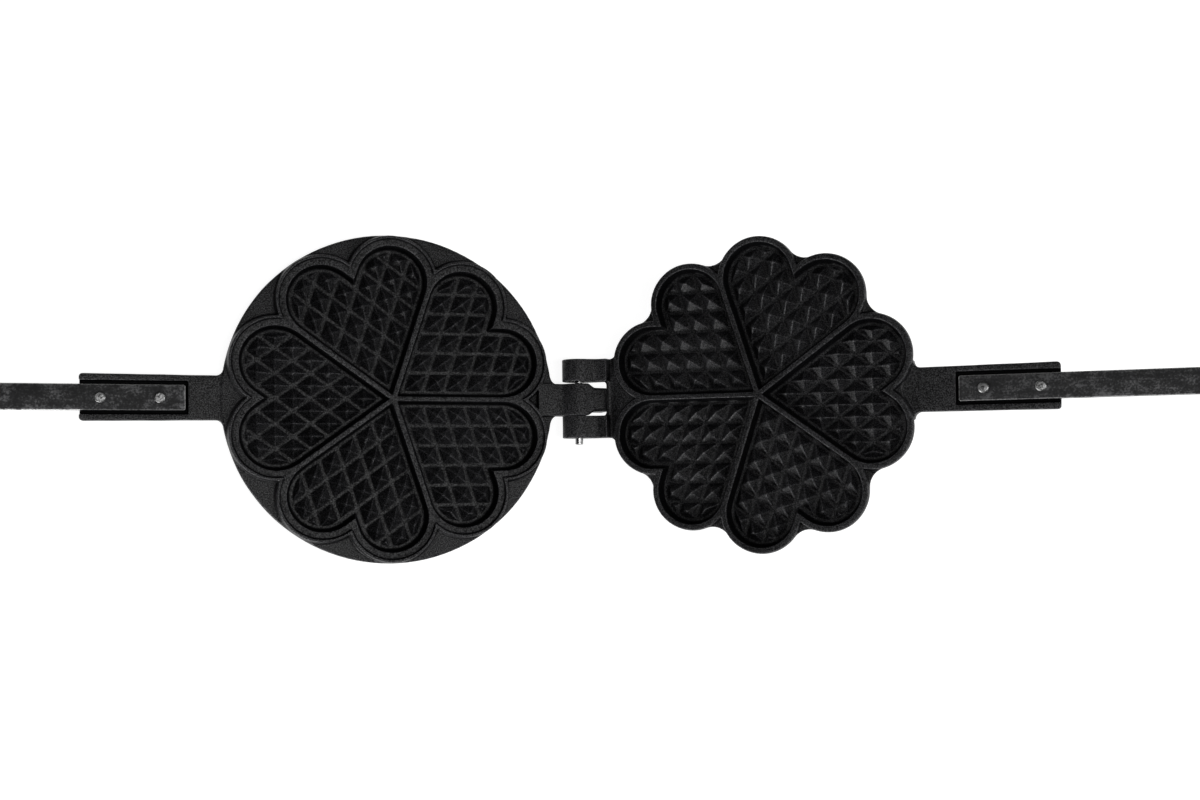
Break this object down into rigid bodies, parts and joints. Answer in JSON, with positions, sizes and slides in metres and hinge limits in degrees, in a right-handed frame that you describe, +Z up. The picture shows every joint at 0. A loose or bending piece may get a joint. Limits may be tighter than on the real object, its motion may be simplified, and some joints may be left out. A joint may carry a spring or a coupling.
{
  "type": "stovetop waffle iron",
  "caption": "Cast iron stovetop waffle iron, opened on its stop: a round plate with heart moulds hinged to a scalloped plate, each with a riveted flat steel handle.",
  "frame": {"origin": "middle of the lower plate's flat back, which stands on the stove", "axes": "+X from the lower plate towards the hinge and the opened upper half, +Y along the hinge pin, +Z up, out of the lower plate's moulds"},
  "size_m": [1.1417, 0.2, 0.4003],
  "materials": {
    "casting": "black, oiled, with a fine sandy casting grain",
    "bar": "dark blued flat bar, worn and streaked",
    "rivet": "plain steel, satin",
    "pin": "bright spring steel"
  },
  "bodies": {
    "lower_half": {"lower_plate": "casting", "lower_handle_bar": "bar", "lower_inner_rivet": "rivet", "lower_outer_rivet": "rivet"},
    "upper_half": {"upper_plate": "casting", "hinge_pin": "pin", "upper_handle_bar": "bar", "upper_inner_rivet": "rivet", "upper_outer_rivet": "rivet"}
  },
  "joints": [
    {"name": "iron_hinge", "type": "hinge", "parent": "lower_half", "child": "upper_half", "pos_m": [0.1165, 0, 0.013], "axis": [0, -1, 0], "range_deg": [0, 142]}
  ]
}
